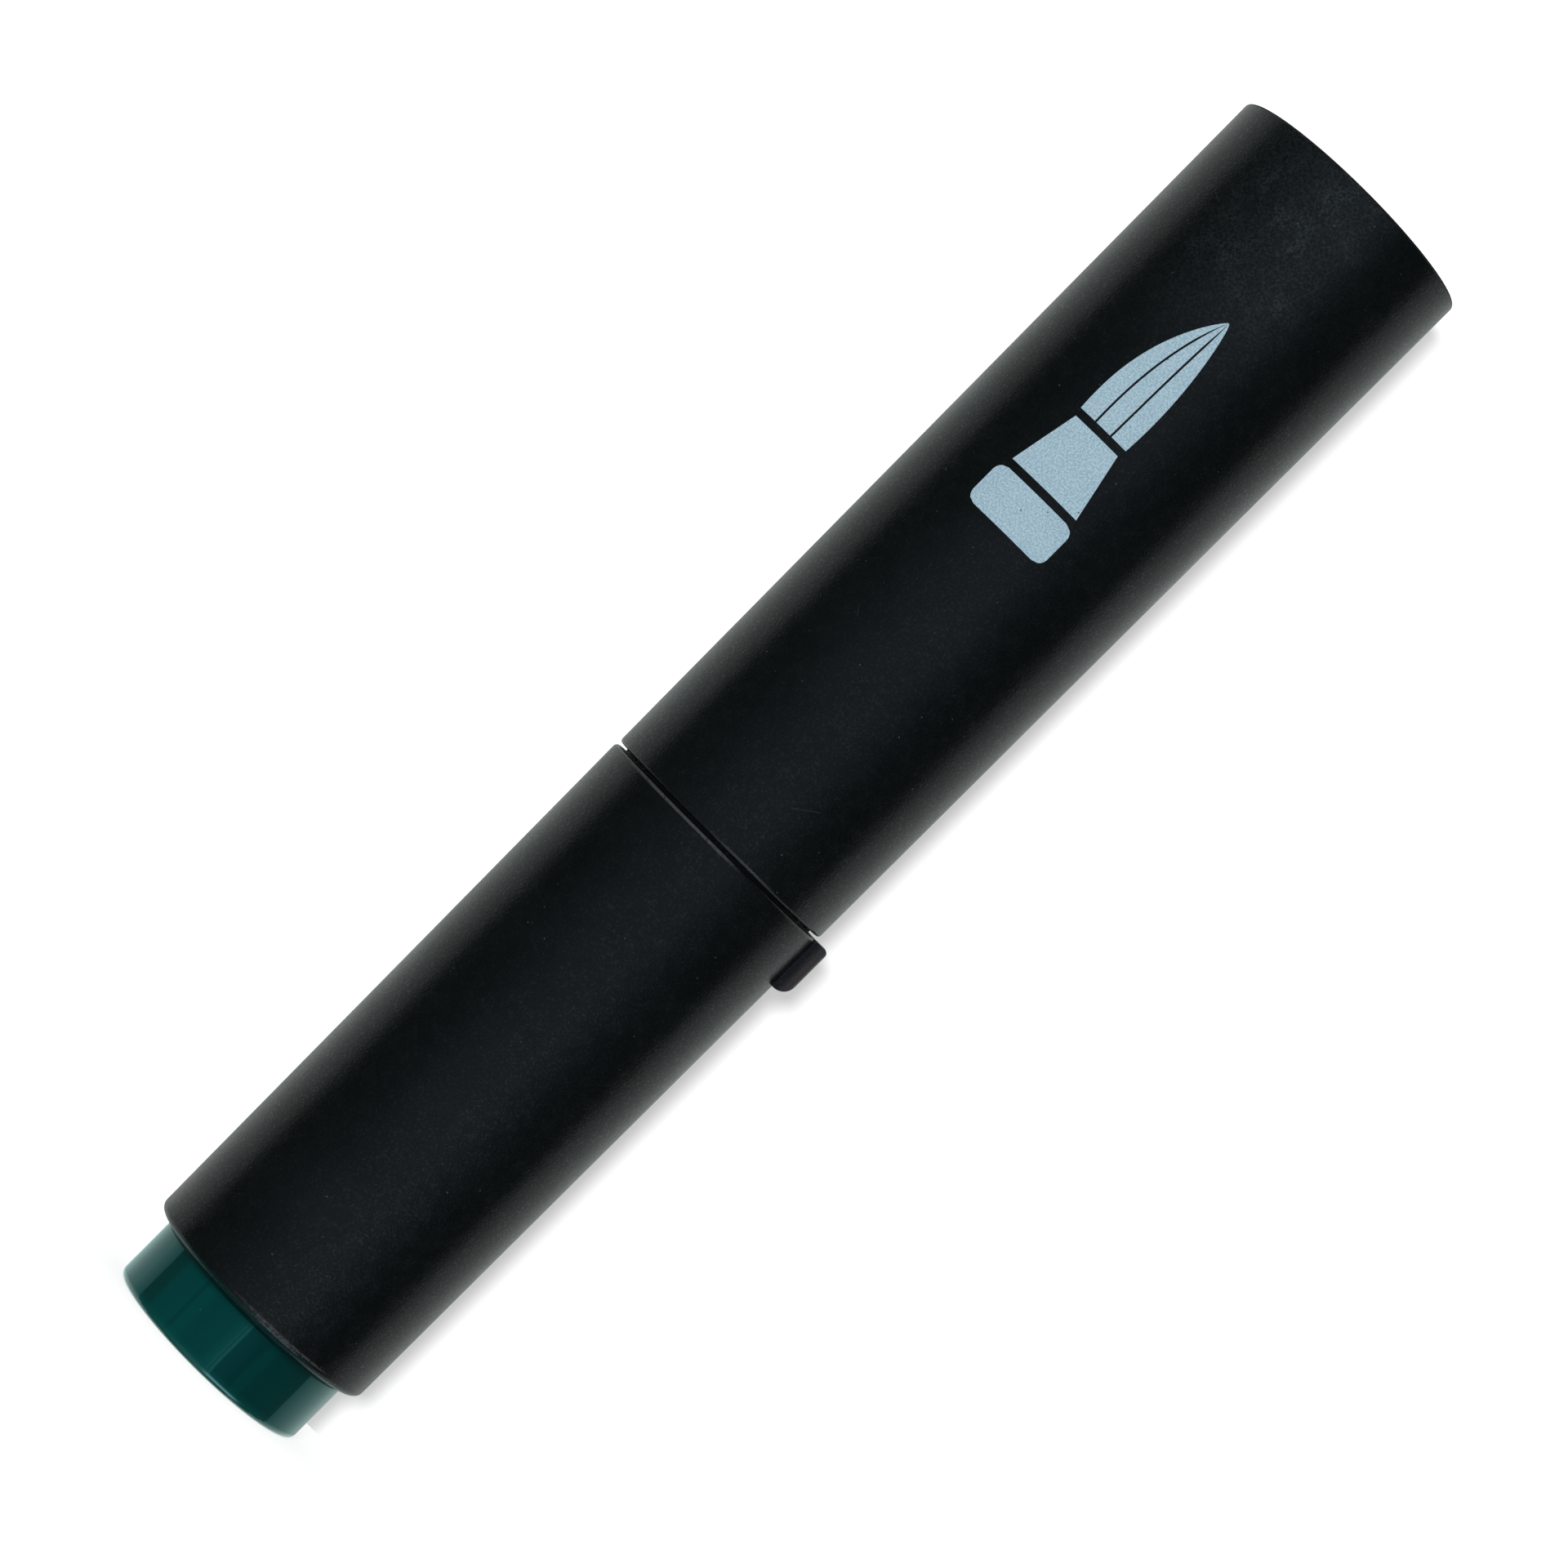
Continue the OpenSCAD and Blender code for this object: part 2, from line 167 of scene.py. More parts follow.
# Black plastic of the cap and the handle: a fine spark-eroded grain, handled patches, dust and hairlines
black = {
    "radius": 8.6,  # of the cylinder that the finish is laid on, mm
    "base": rgb(0.0022, 0.0034, 0.0034),
    "handled": rgb(0.0042, 0.0058, 0.0060),
    "dust": rgb(0.060, 0.063, 0.064),
    # light wear in the grain
    "wearAndHighlight": rgb(0.026, 0.027, 0.028),
    "wornShare": 0.035,
    "wornFrom": (0.46, 0.74),  # of the grain
    "bigDust": (0.6, 0.16, 0.045),  # cells in a mm, share of them with a speck, its size in mm
    "fineDust": (1.5, 0.09, 0.024),
    "cloudsPerMm": 0.16,
    "mottlePerMm": 1.1,
    "grainPerMm": 6.0,
    "pitsPerMm": 8.0,
    "grainHeight": 0.012,  # mm
    "roughness": 0.27,
    "specular": 0.25,
    "glints": 0.44,
    "glintFrom": (0.50, 0.70),  # of the grain, where glints start and are full
    "glintRoughness": 0.30,
}


def dustOn(board, flat, cellsPerMm, share, size):  # small light specks, one at most in a cell
    cell = board.add("ShaderNodeTexVoronoi", {"voronoi_dimensions": "2D"},
                     {"Vector": flat, "Scale": cellsPerMm})
    chance = board.add("ShaderNodeSeparateColor", None, {0: cell.out("Color")})
    there = chance < share
    radius = (0.35 + chance.out("Green")) * size
    spot = 1 - board.ease(cell / cellsPerMm / radius, 0.6, 1.0)
    return spot * there * (0.3 + 0.7 * chance.out("Blue"))


def hairline(board, arc, height, at, turn, length, width):  # a thin straight scratch
    across, along = math.cos(math.radians(turn)), math.sin(math.radians(turn))
    side = (arc - at[0]) * across + (height - at[1]) * along
    run = (height - at[1]) * across - (arc - at[0]) * along
    line = 1 - board.ease(abs(side), width * 0.3, width)
    return line * (1 - board.ease(abs(run), length * 0.35, length * 0.5))


def blackPlastic(name, look, marks, matt):
    board = newBoard(name)
    place = board.place()
    flat, arc, height = board.unrolled(place, look["radius"])
    grain = board.noise(place, look["grainPerMm"], 2, 0.6)
    pits = board.add("ShaderNodeTexVoronoi", {"feature": "SMOOTH_F1"},
                     {"Vector": place, "Scale": look["pitsPerMm"], "Smoothness": 0.6})
    clouds = board.ease(board.noise(place, look["cloudsPerMm"], 3, 0.55), 0.42, 0.68)
    mottle = board.ease(board.noise(place, look["mottlePerMm"], 4, 0.65), 0.35, 0.75)
    colour = board.blend(0.1 + 0.5 * clouds + 0.4 * mottle, look["base"], look["handled"])
    wearAndHighlight = board.ease(grain, *look["wornFrom"]) * look["wornShare"]
    colour = board.blend(wearAndHighlight, colour, look["wearAndHighlight"])
    glints = board.ease(grain, *look["glintFrom"]) * (0.6 + 0.8 * mottle) * look["glints"]
    for mark in marks(board, arc, height, grain):
        colour = board.blend(mark[0], colour, mark[1])
    dust = dustOn(board, flat, *look["bigDust"]) + dustOn(board, flat, *look["fineDust"])
    colour = board.blend(dust, colour, look["dust"])
    roughness = look["roughness"] + 0.06 * (mottle - 0.5) - 0.05 * clouds + 0.3 * dust + matt(board, height)
    bump = board.relief(look["grainHeight"], grain + 0.5 * pits + 0.8 * dust)
    return board.surface({
        "Base Color": colour, "Roughness": roughness, "Normal": bump,
        "Specular IOR Level": look["specular"],
        "Coat Weight": glints, "Coat Roughness": look["glintRoughness"]})


# Marks that only the cap has: rubs and hairlines by its closed end, the rubs painted only on the lit front
# side as a painted sheen, and a painted highlight along the rim's rounding
capMarks = {
    # colour of the rubs and hairlines, and of the rubs' painted sheen on the lit front side
    "rubAndSheen": rgb(0.025, 0.032, 0.035),
    "litSideRound": (-9.0, -2.5, 0.5, 4.0),  # mm round from -Y: the lit front side, where the rubs carry a painted sheen
    "rubUp": (82, 93),  # heights between which it grows, mm
    # painted highlight along the rim's rounding, strongest on the lit side
    "rim": rgb(0.040, 0.044, 0.046),
    "rimBand": (0.00, 0.03, 0.09, 0.15),  # mm up from the rim
    "rimRound": (-1.5, 1.0, 6.0, 8.0),
    "rubShare": 0.6,
    "scratchShare": 0.35,
    "endMatt": 0.5,  # how much rougher the rounding of the closed end is
    "endMattFrom": (-0.2, -0.08),  # mm from the closed end
    "hairlines": (((-0.9, 95.4), 28, 5.2, 0.045), ((1.6, 91.5), -18, 3.4, 0.04),
                  ((-6.5, 93.0), 65, 1.0, 0.05), ((-3.9, 60.2), 40, 0.9, 0.05),
                  ((2.5, 49.5), -55, 2.2, 0.06)),  # middle (arc, height), turn, length, width
}


def marksOnCap(board, arc, height, grain):
    # rub patches by the closed end, only on the lit front side: partly wear, partly a painted sheen
    rubAndSheen = 0.4 + 0.6 * board.ease(board.noise(board.place(), 0.45, 4, 0.7), 0.46, 0.68)
    reach = board.ease(height, *capMarks["rubUp"]) * board.bell(arc, capMarks["litSideRound"])
    marks = [(rubAndSheen * reach * board.ease(grain, 0.30, 0.65) * capMarks["rubShare"], capMarks["rubAndSheen"])]
    for at, turn, length, width in capMarks["hairlines"]:
        scratch = hairline(board, arc, height, at, turn, length, width)
        marks.append((scratch * capMarks["scratchShare"], capMarks["rubAndSheen"]))
    # painted highlight along the rim's rounding, broken up by the grain, strongest on the lit side
    edge = board.bell(height - capLow.z, capMarks["rimBand"])
    lit = 0.2 + 0.8 * board.bell(arc, capMarks["rimRound"])
    marks.append((edge * lit * board.ease(grain, 0.22, 0.50), capMarks["rim"]))
    return marks


def mattOnCap(board, height):  # the rounding of the closed end
    start, full = capMarks["endMattFrom"]
    return capMarks["endMatt"] * board.ease(height, capHigh.z + start, capHigh.z + full)


# Marks that only the handle has: a painted reflection of the green and a painted highlight line at its rear
# edge, a painted highlight along its front edge, and the nub
handleMarks = {
    "mirrored": rgb(0.0008, 0.0150, 0.0146),  # the green below, seen in the rear rounding
    "mirroredTo": (0.30, 0.42),  # mm up from the rear edge
    "rearHighlight": rgb(0.040, 0.038, 0.041),  # painted highlight: a thin light line above that, on the lit side
    "rearHighlightBand": (0.46, 0.53, 0.60, 0.68),
    "rearHighlightRound": (-2.0, 1.4, 5.5, 7.2),  # mm round from -Y
    "frontHighlight": rgb(0.048, 0.050, 0.050),  # painted highlight: a thin light line on the front edge, on the lit side
    "frontHighlightBand": (-0.31, -0.25, -0.14, -0.07),
    "frontHighlightRound": (-9.0, -4.5, 0.3, 2.6),
    "seamGap": 0.2,  # mm from the front edge up to the cap's rim
    "nub": rgb(0.042, 0.038, 0.039),
    "nubFrom": (8.80, 9.55),  # mm from the axis
    "mirroredShare": 0.9,
    "bandMatt": 0.6,  # how much rougher the band inside the seam is
}
frontEdge = capLow.z - handleMarks["seamGap"]


def marksOnHandle(board, arc, height, grain):
    up = height - handleLow.z
    # painted reflection of the green below, all round the rear rounding
    mirrored = 1 - board.ease(up, *handleMarks["mirroredTo"])
    # painted highlight: a thin light line above the rear rounding, on the lit side
    rearHighlight = board.bell(up, handleMarks["rearHighlightBand"]) * board.bell(arc, handleMarks["rearHighlightRound"])
    # painted highlight along the front edge, on the lit side, broken up by the grain
    wearAndHighlight = board.bell(height - frontEdge, handleMarks["frontHighlightBand"])
    wearAndHighlight = wearAndHighlight * board.bell(arc, handleMarks["frontHighlightRound"])
    side = board.add("ShaderNodeSeparateXYZ", None, {0: board.place()})
    return [(mirrored * handleMarks["mirroredShare"], handleMarks["mirrored"]),
            (rearHighlight * board.ease(grain, 0.30, 0.50), handleMarks["rearHighlight"]),
            (wearAndHighlight * board.ease(grain, 0.22, 0.50), handleMarks["frontHighlight"]),
            (board.ease(side, *handleMarks["nubFrom"]), handleMarks["nub"])]


def mattOnHandle(board, height):  # the band inside the seam is rough
    band = (frontEdge, frontEdge + 0.03, capLow.z, capLow.z + 0.2)
    return handleMarks["bandMatt"] * board.bell(height, band)


capMaterial = blackPlastic("capPlastic", black, marksOnCap, mattOnCap)
handleMaterial = blackPlastic("handlePlastic", black, marksOnHandle, mattOnHandle)
print("black plastic done")


# Glossy dark green of the cartridge: soft lengthwise bands, partly painted reflections of the lights and
# partly the ribs and the wall behind showing through, a painted reflection on the flanks and a painted glow
# at the rounded end
green = {
    "base": rgb(0.0004, 0.0262, 0.0248),
    "reflectionBands": (  # painted reflections of the lights, and the ribs inside: from, to (mm round from -Y, at the middle of each edge), softness of both, colour
        (-4.95, -2.10, 0.25, 0.60, rgb(0.0006, 0.0380, 0.0355)),
        (-3.12, -2.86, 0.06, 0.10, rgb(0.0004, 0.0300, 0.0280)),
        (0.10, 0.95, 0.45, 0.03, rgb(0.0016, 0.0360, 0.0345)),
        (0.52, 0.62, 0.04, 0.04, rgb(0.0060, 0.0460, 0.0440)),
        (0.76, 0.90, 0.04, 0.04, rgb(0.0080, 0.0500, 0.0480)),
        (0.97, 2.45, 0.03, 0.45, rgb(0.0003, 0.0180, 0.0172)),
        (2.50, 3.15, 0.20, 0.08, rgb(0.0004, 0.0300, 0.0280)),
    ),
    "flankReflection": ((5.9, 7.4), rgb(0.0060, 0.0420, 0.0390)),  # painted reflection on the flanks: over which mm round, colour
    "rim": ((0.05, 0.9), rgb(0.0010, 0.0580, 0.0480)),  # painted glow of light through the rounded end: over which mm up, colour
    "shade": ((3.9, 4.5), rgb(0.0003, 0.0110, 0.0115)),  # under the handle's rear edge
    "polished": (0.01, 0.05, 0.36, 0.48),  # mm up, the polish of its rounded edge
    "wavesPerMm": 0.35,  # slow waves of the moulded surface
    "waveHeight": 0.012,  # mm
    "specks": (0.9, 0.08, 0.04),  # as the dust on the black
    "dust": rgb(0.10, 0.16, 0.15),
    "roughness": 0.06,
    "specular": 0.5,
    "specularTint": rgb(0.13, 1.0, 0.95),
    "sheen": 0.35,
    "sheenRoughness": 0.4,
    "sheenTint": rgb(0.45, 1.0, 0.95),
}


def greenPlastic():
    board = newBoard("cartridgePlastic")
    place = board.place()
    flat, arc, height = board.unrolled(place, cartridgeHigh.x)
    waves = board.noise(place, green["wavesPerMm"], 1, 0.4)
    bent = arc + 0.25 * (waves - 0.5)
    colour = green["base"]
    # lengthwise bands: painted reflections of the lights, and the ribs inside showing through
    for start, stop, startSoft, stopSoft, tone in green["reflectionBands"]:
        band = (board.ease(bent, start - startSoft, start + startSoft)
                * (1 - board.ease(bent, stop - stopSoft, stop + stopSoft)))
        colour = board.blend(band, colour, tone)
    stretched = board.vectors("MULTIPLY", place, (1.2, 1.2, 0.05))
    flow = board.ease(board.noise(stretched, 0.6, 2, 0.5), 0.40, 0.62)
    # painted reflection on the flanks
    (start, full), tone = green["flankReflection"]
    colour = board.blend(board.ease(abs(arc), start, full) * (0.5 + 0.5 * flow), colour, tone)
    # painted glow of light through the rounded end, brighter towards its edge
    (start, gone), tone = green["rim"]
    colour = board.blend((1 - board.ease(height, start, gone)) * 0.8, colour, tone)
    (start, full), tone = green["shade"]
    colour = board.blend(board.ease(height, start, full) * 0.8, colour, tone)
    dust = dustOn(board, flat, *green["specks"])
    colour = board.blend(dust, colour, green["dust"])
    touched = board.ease(board.noise(place, 0.5, 4, 0.6), 0.45, 0.7)
    polished = board.bell(height, green["polished"])
    bump = board.relief(green["waveHeight"], waves + 0.5 * dust)
    return board.surface({
        "Base Color": colour, "Roughness": green["roughness"] + 0.04 * touched + 0.3 * dust,
        "Normal": bump, "Specular IOR Level": green["specular"], "Specular Tint": green["specularTint"],
        "Coat Weight": polished, "Coat Roughness": green["roughness"],
        "Sheen Weight": green["sheen"], "Sheen Roughness": green["sheenRoughness"],
        "Sheen Tint": green["sheenTint"]})


cartridgeMaterial = greenPlastic()


# Satin black of the nose, with ink dried round the nozzle
nose = {
    "base": rgb(0.010, 0.011, 0.012),
    "lighter": rgb(0.017, 0.019, 0.020),
    "ink": rgb(0.004, 0.040, 0.032),
    "inkFrom": 3.2,  # mm below the nozzle's mouth
    "inkShare": 0.8,
    "grainPerMm": 7,
    "grainHeight": 0.006,  # mm
    "roughness": 0.30,
    "specular": 0.4,
}


def nosePlastic():
    board = newBoard("nosePlastic")
    place = board.place()
    height = board.height(place)
    clouds = board.ease(board.noise(place, 0.5, 3, 0.6), 0.4, 0.7)
    colour = board.blend(clouds, nose["base"], nose["lighter"])
    edge = noseHigh.z - nose["inkFrom"] + 2.2 * board.noise(place, 0.9, 3, 0.6)
    ink = board.ease(height - edge, -0.5, 1.2)
    colour = board.blend(ink * nose["inkShare"], colour, nose["ink"])
    bump = board.relief(nose["grainHeight"], board.noise(place, nose["grainPerMm"], 2, 0.6))
    return board.surface({
        "Base Color": colour, "Roughness": nose["roughness"] + 0.08 * clouds - 0.12 * ink,
        "Normal": bump, "Specular IOR Level": nose["specular"]})


noseMaterial = nosePlastic()


# Undyed milky plastic of the inner cap and the cartridge's neck, tinted where ink has touched it
milky = {
    "base": rgb(0.66, 0.685, 0.65),
    "shade": rgb(0.56, 0.60, 0.56),
    "ink": rgb(0.05, 0.26, 0.20),
    "cupInk": (4, 3),  # mm below the cup's top and above its mouth, between which ink comes in
    "neckInk": (41, 49),  # heights between which it comes in on the cartridge's neck, mm
    "grainPerMm": 4,
    "grainHeight": 0.008,  # mm
    "roughness": 0.36,
    "specular": 0.45,
    "milk": 0.25,  # share of light that goes into the plastic
    "milkDepth": 0.8,  # mm
}


def milkyPlastic(name, inkFrom, inkTo):
    board = newBoard(name)
    place = board.place()
    height = board.height(place)
    clouds = board.ease(board.noise(place, 0.35, 3, 0.55), 0.35, 0.7)
    colour = board.blend(clouds, milky["base"], milky["shade"])
    drops = board.ease(board.noise(place, 0.45, 2, 0.5), 0.52, 0.64)
    reach = board.ease(height, inkFrom, inkTo)
    colour = board.blend((0.12 + 0.45 * drops) * reach, colour, milky["ink"])
    bump = board.relief(milky["grainHeight"], board.noise(place, milky["grainPerMm"], 2, 0.5))
    return board.surface({
        "Base Color": colour, "Roughness": milky["roughness"] + 0.06 * clouds - 0.1 * drops * reach,
        "Normal": bump, "Specular IOR Level": milky["specular"],
        "Subsurface Weight": milky["milk"], "Subsurface Scale": milky["milkDepth"] * mm})


belowTop, aboveMouth = milky["cupInk"]
cupMaterial = milkyPlastic("innerCapPlastic", cupHigh.z - belowTop, cupLow.z + aboveMouth)
neckMaterial = milkyPlastic("cartridgeNeckPlastic", *milky["neckInk"])


# Fibre of the brush and its rod, soaked with ink
fibre = {
    "soaked": rgb(0.006, 0.070, 0.055),
    "lit": rgb(0.030, 0.190, 0.150),
    "strandsPerMm": 7.0,
    "bundlesPerMm": 1.6,
    "drawn": 0.05,  # how much slower the pattern changes along the fibre
    "strandHeight": 0.05,  # mm
    "roughness": 0.62,
    "specular": 0.4,
    "sheen": 0.15,
}


def brushFibre():
    board = newBoard("brushFibre")
    place = board.place()
    drawn = board.vectors("MULTIPLY", place, (1, 1, fibre["drawn"]))
    strands = board.noise(drawn, fibre["strandsPerMm"], 3, 0.6)
    bundles = board.noise(drawn, fibre["bundlesPerMm"], 2, 0.5)
    clouds = board.noise(place, 0.5, 2, 0.5)
    share = board.ease(strands, 0.36, 0.66) * 0.65 + board.ease(bundles, 0.4, 0.65) * 0.35
    colour = board.blend(share * (0.35 + 0.65 * clouds), fibre["soaked"], fibre["lit"])
    bump = board.relief(fibre["strandHeight"], strands + 0.8 * bundles)
    return board.surface({
        "Base Color": colour, "Roughness": fibre["roughness"] - 0.15 * clouds, "Normal": bump,
        "Specular IOR Level": fibre["specular"], "Sheen Weight": fibre["sheen"]})


brushMaterial = brushFibre()


# Fibre core and its clear film
core = {
    "wet": rgb(0.004, 0.050, 0.038),
    "dry": rgb(0.060, 0.220, 0.175),
    "strandsPerMm": 4.5,
    "drawn": 0.06,
    "strandHeight": 0.08,  # mm
    "roughness": 0.7,
    "specular": 0.4,
    "film": rgb(0.78, 0.84, 0.82),
    "filmShade": rgb(0.66, 0.75, 0.72),
    "filmDrawn": 0.3,
    "wrinkleHeight": 0.1,  # mm
    "filmRoughness": 0.10,
    "filmAlpha": 0.4,
}


def coreFibre():
    board = newBoard("coreFibre")
    place = board.place()
    drawn = board.vectors("MULTIPLY", place, (1, 1, core["drawn"]))
    strands = board.noise(drawn, core["strandsPerMm"], 4, 0.65)
    soak = board.noise(place, 0.2, 3, 0.5)
    colour = board.blend(board.ease(strands + 0.5 * soak, 0.45, 1.0), core["wet"], core["dry"])
    return board.surface({
        "Base Color": colour, "Roughness": core["roughness"] - 0.2 * soak,
        "Normal": board.relief(core["strandHeight"], strands), "Specular IOR Level": core["specular"]})


def coreFilm():
    board = newBoard("coreFilm")
    place = board.place()
    wrinkles = board.noise(board.vectors("MULTIPLY", place, (1, 1, core["filmDrawn"])), 0.7, 3, 0.55)
    return board.surface({
        "Base Color": board.blend(wrinkles, core["film"], core["filmShade"]),
        "Roughness": core["filmRoughness"] + 0.1 * wrinkles,
        "Normal": board.relief(core["wrinkleHeight"], wrinkles), "Alpha": core["filmAlpha"]})


finishes = {
    "cap_shell": capMaterial,
    "inner_cap": cupMaterial,
    "handle_sleeve": handleMaterial,
    "nose_cone": noseMaterial,
    "brush_nib": brushMaterial,
    "cartridge_barrel": cartridgeMaterial,
    "cartridge_neck": neckMaterial,
    "reservoir_film": coreFilm(),
    "ink_reservoir": coreFibre(),
}
for node, material in finishes.items():
    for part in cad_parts[node].material_slots:
        part.material = material
print("finishes on", len(finishes), "solids")


# Print on the cap: a plain picture of a brush tip, in pale blue-grey ink
printed = {
    "ink": rgb(0.400, 0.545, 0.630),
    "thinInk": rgb(0.235, 0.355, 0.435),
    "pinhole": rgb(0.030, 0.040, 0.045),
    "dotsPerMm": 8.0,
    "dotHeight": 0.006,  # mm
    "pinholes": (0.8, 0.14, 0.05),  # as the dust on the black
    "roughness": 0.5,
    "specular": 0.3,
    "middle": 78.7,  # height of its middle, mm
    "length": 18.3,
    "width": 6.3,
    "turn": 6.8,  # degrees from -Y towards -X
    "thick": 0.02,
    "step": 0.15,  # size of the print's faces, mm
    "rimBand": 0.4,  # how far up the rim's rounding ends, mm
    "gap": 0.55,  # between collar, ferrule and bristles, mm
    "collarEnd": 3.0,  # mm from the picture's lower end
    "collarCorner": 0.7,
    "ferruleEnd": 8.0,
    "slit": 0.14,  # between the three locks of the bristles, mm
    "bend": 0.9,  # of the point to one side, mm
}


rimRadius = widestUpTo("cap_shell", capLow.z + printed["rimBand"])


def capRadius(height):  # the cap's outside grows evenly from its rim
    return rimRadius + (capHigh.x - rimRadius) * (height - capLow.z) / (capHigh.z - capLow.z)


def printSheet(name, shapes):
    mesh = bmesh.new()
    base = printed["middle"] - printed["length"] / 2
    for start, end, low, high in shapes:
        rows = max(2, round((end - start) / printed["step"]))
        widest = max(high(start + (end - start) * i / rows) - low(start + (end - start) * i / rows)
                     for i in range(rows + 1))
        columns = max(2, round(widest / (4 * printed["step"])))
        layers = []
        for lift in (printed["thick"], -printed["thick"]):
            grid = []
            for i in range(rows + 1):
                s = start + (end - start) * i / rows
                row = []
                for k in range(columns + 1):
                    w = low(s) + (high(s) - low(s)) * k / columns
                    radius = capRadius(base + s)
                    angle = w / radius - math.radians(printed["turn"])
                    reach = radius + lift
                    row.append(mesh.verts.new(Vector((
                        reach * math.sin(angle), -reach * math.cos(angle), base + s)) * mm))
                grid.append(row)
            layers.append(grid)
        top, bottom = layers
        for i in range(rows):
            for k in range(columns):
                mesh.faces.new((top[i][k], top[i][k + 1], top[i + 1][k + 1], top[i + 1][k]))
                mesh.faces.new((bottom[i][k], bottom[i + 1][k], bottom[i + 1][k + 1], bottom[i][k + 1]))
        rim = ([(0, k) for k in range(columns)] + [(i, columns) for i in range(rows)]
               + [(rows, k) for k in range(columns, 0, -1)] + [(i, 0) for i in range(rows, 0, -1)])
        for (a, b), (c, d) in zip(rim, rim[1:] + rim[:1]):
            mesh.faces.new((top[a][b], bottom[a][b], bottom[c][d], top[c][d]))
    bmesh.ops.remove_doubles(mesh, verts=mesh.verts, dist=0.0005 * mm)
    bmesh.ops.recalc_face_normals(mesh, faces=mesh.faces)
    data = bpy.data.meshes.new(name)
    mesh.to_mesh(data)
    mesh.free()
    sheet = bpy.data.objects.new(name, data)
    bpy.context.scene.collection.objects.link(sheet)
    return sheet


def brushPicture():
    half = printed["width"] / 2
    collarEnd, ferruleEnd = printed["collarEnd"], printed["ferruleEnd"]
    ferruleStart = collarEnd + printed["gap"]
    tipStart, tipEnd = ferruleEnd + printed["gap"], printed["length"]

    def rounded(start, end, width, radius):
        def edge(s):
            depth = min(s - start, end - s)
            if depth >= radius:
                return width
            return width - radius + math.sqrt(max(0, radius * radius - (radius - depth) ** 2))
        return edge

    def ferrule(s):
        share = (s - ferruleStart) / (ferruleEnd - ferruleStart)
        return half * (0.86 - 0.30 * share)

    def bristles(s):
        t = (s - tipStart) / (tipEnd - tipStart)
        return half * 0.60 * (1 - t ** 2.2) ** 0.8 * (1 + 0.35 * t * (1 - t))

    def bend(s):
        t = (s - tipStart) / (tipEnd - tipStart)
        return printed["bend"] * t ** 2.5

    def lockEdge(s, side, cut):  # side: -1, -1/3, 1/3 or 1; cut: half a slit to add or take away
        return bend(s) + bristles(s) * side + cut * min(1, bristles(s))

    collar = rounded(0, collarEnd, half, printed["collarCorner"])
    cut = printed["slit"] / 2
    shapes = [(0, collarEnd, lambda s: -collar(s), collar),
              (ferruleStart, ferruleEnd, lambda s: -ferrule(s), ferrule)]
    for n in (-1, 0, 1):  # the three locks
        shapes.append((
            tipStart, tipEnd - 0.05,
            lambda s, n=n: lockEdge(s, (2 * n - 1) / 3, cut if n > -1 else 0),
            lambda s, n=n: lockEdge(s, (2 * n + 1) / 3, -cut if n < 1 else 0)))
    return shapes


def printInk():
    board = newBoard("printInk")
    place = board.place()
    flat = board.unrolled(place, black["radius"])[0]
    screen = board.noise(flat, printed["dotsPerMm"], 2, 0.6, flat=True)
    clouds = board.noise(flat, 0.7, 3, 0.5, flat=True)
    thin = 0.85 * board.ease(screen, 0.32, 0.66) + 0.3 * (clouds - 0.5)
    colour = board.blend(thin, printed["ink"], printed["thinInk"])
    colour = board.blend(dustOn(board, flat, *printed["pinholes"]), colour, printed["pinhole"])
    return board.surface({
        "Base Color": colour, "Roughness": printed["roughness"] + 0.1 * clouds,
        "Normal": board.relief(printed["dotHeight"], screen), "Specular IOR Level": printed["specular"]})


picture = printSheet("cap_print", brushPicture())
picture.data.materials.append(printInk())
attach(picture, "cap")
print("print on the cap:", len(picture.data.polygons), "faces")


# Light: an even room, a large lamp in front, a weak one behind, and what the shiny surfaces see
studio = {
    "room": 0.42,  # even light from all round
    "lamp": {"at": (-98, -900, 130), "size": 140, "power": 5.0, "shadow": True},  # mm, mm, W
    "fill": {"at": (-350, 800, 350), "size": 400, "power": 2.5, "shadow": False},
    "dark": 0.02,  # the unlit room in front, as a mirror sees it
    "glow": (-95, -20, 20, 62, 0.12),  # starts, full, fades, gone (degrees from -Y to +X), level
    "softbox": (-55, 0, 14, 48, 0.205),
    "ground": (  # white ground behind: how far back a direction points where a step starts, ends; level
        (0.09, 0.12, 0.52), (0.12, 0.50, 0.16),
        (0.80, 1.00, -0.18)),  # close to the marker it lies in its shadow
    "lowStrip": (4, 20, 48, 68, 3.2),  # the same for a strip below, and how far down it points
    "lowStripDrop": (0.30, 0.40, 0.58, 0.76),
    "softTint": rgb(0.86, 1.00, 1.20),
    "groundTint": rgb(0.92, 1.00, 0.98),
    "paper": 0.88,
    "wallGlow": 0.36,
    "floorGlow": 0.58,
    "wallGap": 0.05,  # mm between the marker and the ground behind it
    "reach": 0.8,  # m, half the width of the floor and the wall
}


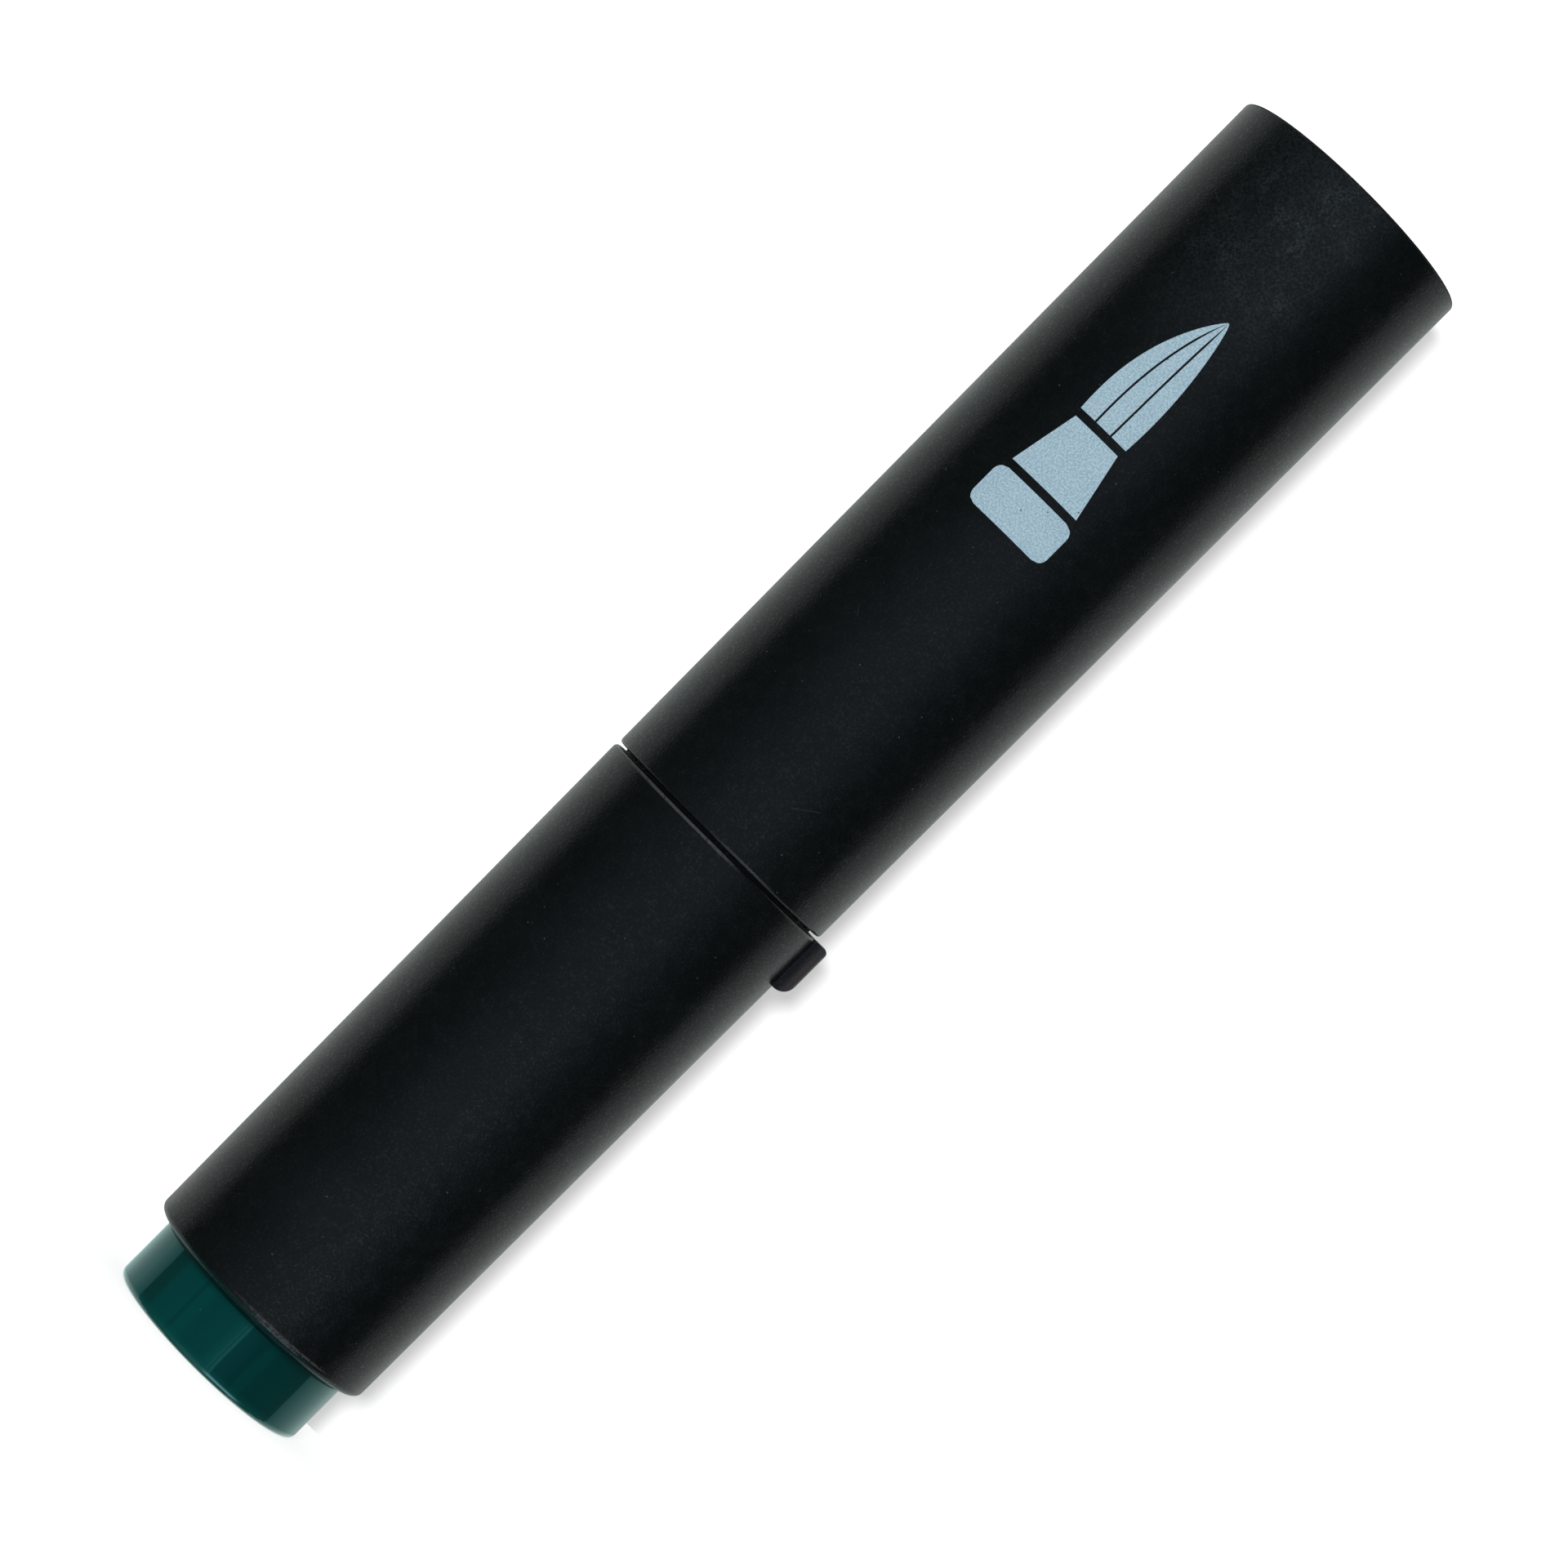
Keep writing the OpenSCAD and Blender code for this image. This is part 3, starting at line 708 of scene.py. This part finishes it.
def makeWorld():
    world = bpy.data.worlds.new("studio")
    bpy.context.scene.world = world
    board = Board(world)
    world.cycles.sampling_method = "NONE"
    way = board.add("ShaderNodeTexCoord")
    parts = board.add("ShaderNodeSeparateXYZ", None, {0: way})
    depth = parts.out("Y")
    turn = board.maths("ARCTAN2", parts, depth * -1) * (180 / math.pi)

    front = studio["dark"]
    for *edges, level in (studio["glow"], studio["softbox"]):
        front = front + board.bell(turn, edges) * level
    *edges, level = studio["lowStrip"]
    strip = board.bell(turn, edges) * board.bell(parts.out("Z") * -1, studio["lowStripDrop"]) * level
    front = front + strip
    ground = 0.0
    for start, full, level in studio["ground"]:
        ground = ground + board.ease(depth, start, full) * level
    behind = board.ease(depth, -0.02, 0.02)
    paths = board.add("ShaderNodeLightPath")
    plain = paths.out("Is Camera Ray") + paths.out("Is Transmission Ray")
    mirror = paths.out("Is Glossy Ray")
    mirrored = front * (1 - behind) + ground
    strength = plain + (1 - plain) * (mirror * mirrored + (1 - mirror) * studio["room"])
    tint = board.blend(behind, studio["softTint"], studio["groundTint"])
    colour = board.blend(mirror, rgb(1, 1, 1), tint)
    light = board.add("ShaderNodeBackground", None, {"Color": colour, "Strength": strength})
    board.add("ShaderNodeOutputWorld", None, {"Surface": light})


def makeLamp(name, look):
    lamp = bpy.data.lights.new(name, "AREA")
    lamp.shape = "DISK"
    lamp.size = look["size"] * mm
    lamp.energy = look["power"]
    lamp.use_shadow = look["shadow"]
    holder = bpy.data.objects.new(name, lamp)
    bpy.context.scene.collection.objects.link(holder)
    holder.location = Vector(look["at"]) * mm
    middle = Vector((0, 0, capHigh.z / 2)) * mm
    holder.rotation_euler = (middle - holder.location).to_track_quat("-Z", "Y").to_euler()
    holder.visible_glossy = False
    holder.visible_camera = False


def paper(name, glow):  # white paper that is clear from behind
    board = newBoard(name)
    sheet = board.add("ShaderNodeBsdfPrincipled", None, {
        "Base Color": rgb(studio["paper"], studio["paper"], studio["paper"]), "Roughness": 1.0,
        "Specular IOR Level": 0.0, "Emission Color": rgb(1, 1, 1), "Emission Strength": glow})
    clear = board.add("ShaderNodeBsdfTransparent", None, {0: rgb(1, 1, 1)})
    back = board.add("ShaderNodeNewGeometry").out("Backfacing")
    mixed = board.add("ShaderNodeMixShader", None, {0: back, 1: sheet, 2: clear})
    board.add("ShaderNodeOutputMaterial", None, {"Surface": mixed})
    return board.owner


def stagePlane(name, corners, material):
    data = bpy.data.meshes.new(name)
    data.from_pydata([Vector(c) for c in corners], [], [(0, 1, 2, 3)])
    data.materials.append(material)
    plane = bpy.data.objects.new(name, data)
    bpy.context.scene.collection.objects.link(plane)
    plane.visible_glossy = plane.visible_diffuse = plane.visible_transmission = False
    plane.visible_shadow = False


def makeStage():
    far = studio["reach"]
    back = (capHigh.y + studio["wallGap"]) * mm
    stagePlane("floor", ((-far, -far, 0), (far, -far, 0), (far, far, 0), (-far, far, 0)),
               paper("floorPaper", studio["floorGlow"]))
    stagePlane("backdrop", ((-far, back, -far), (far, back, -far), (far, back, far), (-far, back, far)),
               paper("wallPaper", studio["wallGlow"]))


makeWorld()
makeLamp("frontLamp", studio["lamp"])
makeLamp("fillLamp", studio["fill"])
makeStage()
print("light and stage set")


# Camera: square to the axis and rolled, so that the marker runs from the lower left to the upper right
view = {
    "lens": 120,
    "sensor": 36,
    "at": (0.415, -320, 49.7),  # mm
    "roll": 44.88,
    "clip": (0.01, 20),  # m
}


def makeCamera():
    data = bpy.data.cameras.new("camera")
    data.lens = view["lens"]
    data.sensor_width = view["sensor"]
    data.clip_start, data.clip_end = view["clip"]
    camera = bpy.data.objects.new("camera", data)
    bpy.context.scene.collection.objects.link(camera)
    roll = math.radians(view["roll"])
    right = Vector((math.cos(roll), 0, math.sin(roll)))
    up = Vector((-math.sin(roll), 0, math.cos(roll)))
    turned = Matrix((right, up, Vector((0, -1, 0)))).transposed().to_4x4()
    camera.matrix_world = Matrix.Translation(Vector(view["at"]) * mm) @ turned
    bpy.context.scene.camera = camera


makeCamera()
bpy.context.scene.view_settings.view_transform = "Standard"
print("camera set")
